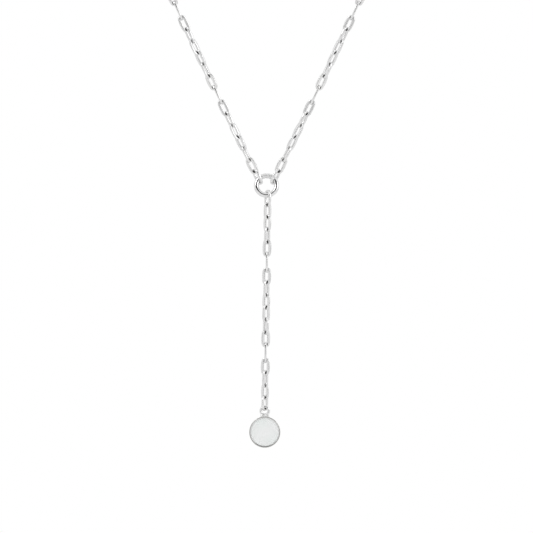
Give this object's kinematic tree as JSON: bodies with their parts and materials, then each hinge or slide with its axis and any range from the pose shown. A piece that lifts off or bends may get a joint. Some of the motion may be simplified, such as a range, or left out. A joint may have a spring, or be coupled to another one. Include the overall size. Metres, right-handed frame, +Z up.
{
  "type": "y necklace",
  "caption": "Silver link chain necklace that meets at a small front ring, with a short drop chain from the ring that ends in a round inlaid pendant.",
  "frame": {"origin": "the nape: middle of the clasp's neck side, where the loop sits on the back of the neck", "axes": "+Z up, +X to the right as the picture shows it (the wearer's left), +Y from the front of the necklace towards the nape"},
  "size_m": [0.1048, 0.1012, 0.1889],
  "materials": {
    "silver_chain": "polished",
    "silver_bright": "polished",
    "pearl_inlay": "gloss"
  },
  "bodies": {
    "necklace": {"neck_chain_left": "silver_chain", "neck_chain_right": "silver_chain", "y_ring": "silver_bright", "drop_chain": "silver_chain", "clasp": "silver_bright"},
    "pendant": {"pendant_setting": "silver_bright", "pendant_disc": "pearl_inlay"}
  },
  "joints": [
    {"name": "pendant_swing", "type": "hinge", "parent": "necklace", "child": "pendant", "pos_m": [-0.00045, -0.0975, -0.17508], "axis": [1, 0, 0], "range_deg": [-45, 45]}
  ]
}
